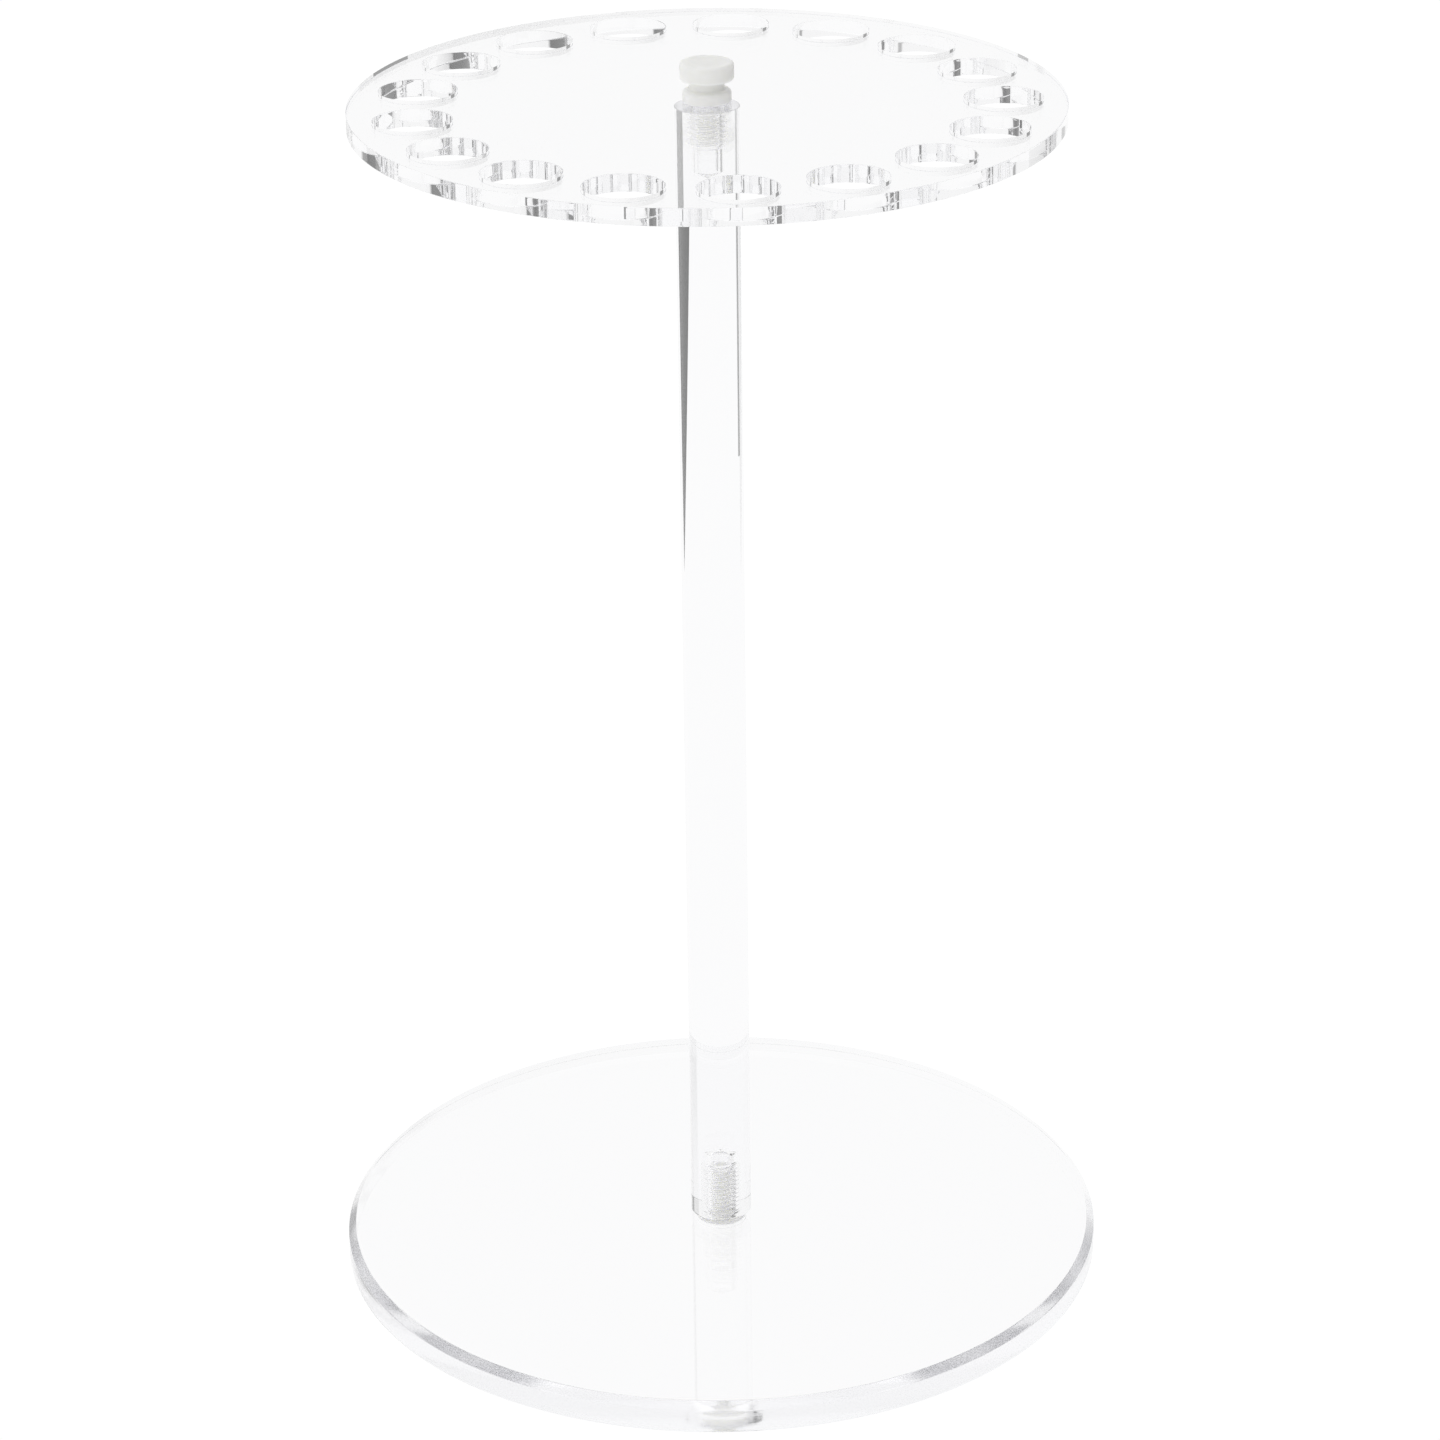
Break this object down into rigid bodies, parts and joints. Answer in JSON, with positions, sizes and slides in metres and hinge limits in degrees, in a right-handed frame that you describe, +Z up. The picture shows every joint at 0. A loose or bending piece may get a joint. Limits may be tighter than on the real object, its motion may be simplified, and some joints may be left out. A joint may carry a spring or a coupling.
{
  "type": "hair tool stand",
  "caption": "Free-standing clear acrylic stand: a round foot and rod carry a turning disc whose ring of holes takes the handles of brushes and styling tools.",
  "frame": {"origin": "centre of the foot's underside, on the rod's axis", "axes": "+Z up along the rod; +X and +Y in the plane it stands on, with one tool hole 5 degrees from +Y towards +X"},
  "size_m": [0.2, 0.2, 0.3242],
  "materials": {
    "clear_acrylic": "polished",
    "white_nylon": "satin"
  },
  "bodies": {
    "stand": {"base_plate": "clear_acrylic", "support_rod": "clear_acrylic", "base_screw": "white_nylon"},
    "disc": {"top_disc": "clear_acrylic"},
    "thumb_screw": {"thumb_screw": "white_nylon"}
  },
  "joints": [
    {"name": "disc_spin", "type": "hinge", "parent": "stand", "child": "disc", "pos_m": [0, 0, 0.31], "axis": [0, 0, 1], "continuous": true},
    {"name": "thumb_screw_lift", "type": "slide", "parent": "stand", "child": "thumb_screw", "axis": [0, 0, 1], "range_m": [0, 0.0127]}
  ]
}
